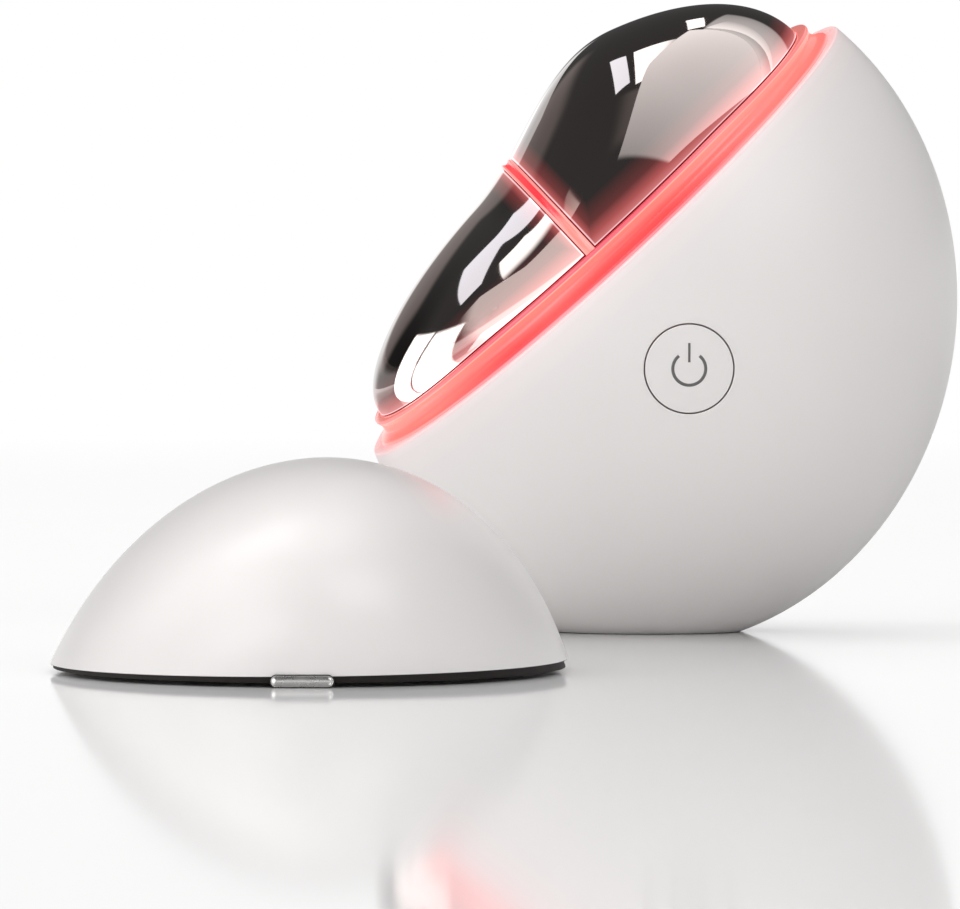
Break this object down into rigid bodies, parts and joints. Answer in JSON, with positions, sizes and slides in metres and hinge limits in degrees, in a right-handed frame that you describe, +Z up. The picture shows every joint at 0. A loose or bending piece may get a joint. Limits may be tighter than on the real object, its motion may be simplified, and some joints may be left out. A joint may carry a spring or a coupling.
{
  "type": "electric gua sha tool",
  "caption": "Egg-shaped white electric gua sha tool on a flat foot, with a slanted red light ring, a two-lobed metal head, a power button and a loose dome cap.",
  "frame": {"origin": "centre of the foot's flat face, on the surface that the tool and its cap stand on", "axes": "+Z up out of the foot, +X to the right when facing the button, -Y towards the person facing the button"},
  "size_m": [0.1038, 0.1654, 0.0751],
  "materials": {
    "white_shell": "satin",
    "red_light": "translucent",
    "dark_chrome": "mirror",
    "bright_metal": "polished",
    "grey_plastic": "matte",
    "soft_grey": "soft",
    "steel": "plain",
    "wire_grey": "matte",
    "dark_rubber": "matte",
    "green_board": "lacquered",
    "wire_red": "matte",
    "dark_plastic": "matte",
    "battery_foil": "foil",
    "icon_grey": "printed"
  },
  "bodies": {
    "tool": {"front_shell": "white_shell", "back_shell": "white_shell", "light_ring": "red_light", "divider_guide": "red_light", "upper_electrode": "dark_chrome", "lower_electrode": "dark_chrome", "head_carrier": "grey_plastic", "carrier_screws": "steel", "ring_gasket": "dark_rubber", "led_board": "green_board", "red_leds": "red_light", "led_leads": "wire_red", "electrode_leads": "wire_grey", "chassis": "dark_plastic", "frame_screws": "steel", "foot_screws": "steel", "foot_pad": "dark_rubber", "motor_can": "bright_metal", "motor_sleeve": "dark_rubber", "motor_leads": "wire_red", "main_board": "green_board", "board_chips": "dark_plastic", "board_screws": "steel", "usb_socket": "bright_metal", "usb_tongue": "dark_plastic", "battery_tape": "dark_rubber", "battery": "battery_foil", "battery_leads": "wire_red", "switch_case": "dark_plastic", "key_board": "green_board", "key_screws": "steel", "button_boot": "soft_grey", "key_leads": "wire_red"},
    "button": {"power_button": "white_shell", "button_icon": "icon_grey"},
    "plunger": {"switch_plunger": "dark_plastic"},
    "rotor": {"motor_weight": "steel"},
    "cap": {"cap_shell": "white_shell", "cap_tab": "bright_metal", "cap_buffers": "soft_grey", "cap_seal": "soft_grey"}
  },
  "joints": [
    {"name": "button_press", "type": "slide", "parent": "tool", "child": "button", "axis": [0, 1, 0], "range_m": [0, 0.0004], "stiffness_N_per_m": 900, "deforming": ["button_boot"]},
    {"name": "plunger_press", "type": "slide", "parent": "tool", "child": "plunger", "axis": [0, 1, 0], "range_m": [0, 0.0004]},
    {"name": "motor_spin", "type": "hinge", "parent": "tool", "child": "rotor", "pos_m": [0.00202, 0.00062, 0.0393], "axis": [0.7349, 0, 0.6782], "continuous": true},
    {"name": "cap_lift", "type": "slide", "parent": "tool", "child": "cap", "axis": [0, 0, 1], "range_m": [0, 0.09]}
  ],
  "couplings": [
    {"joint": "plunger_press", "follows": "button_press", "ratio": 1}
  ]
}
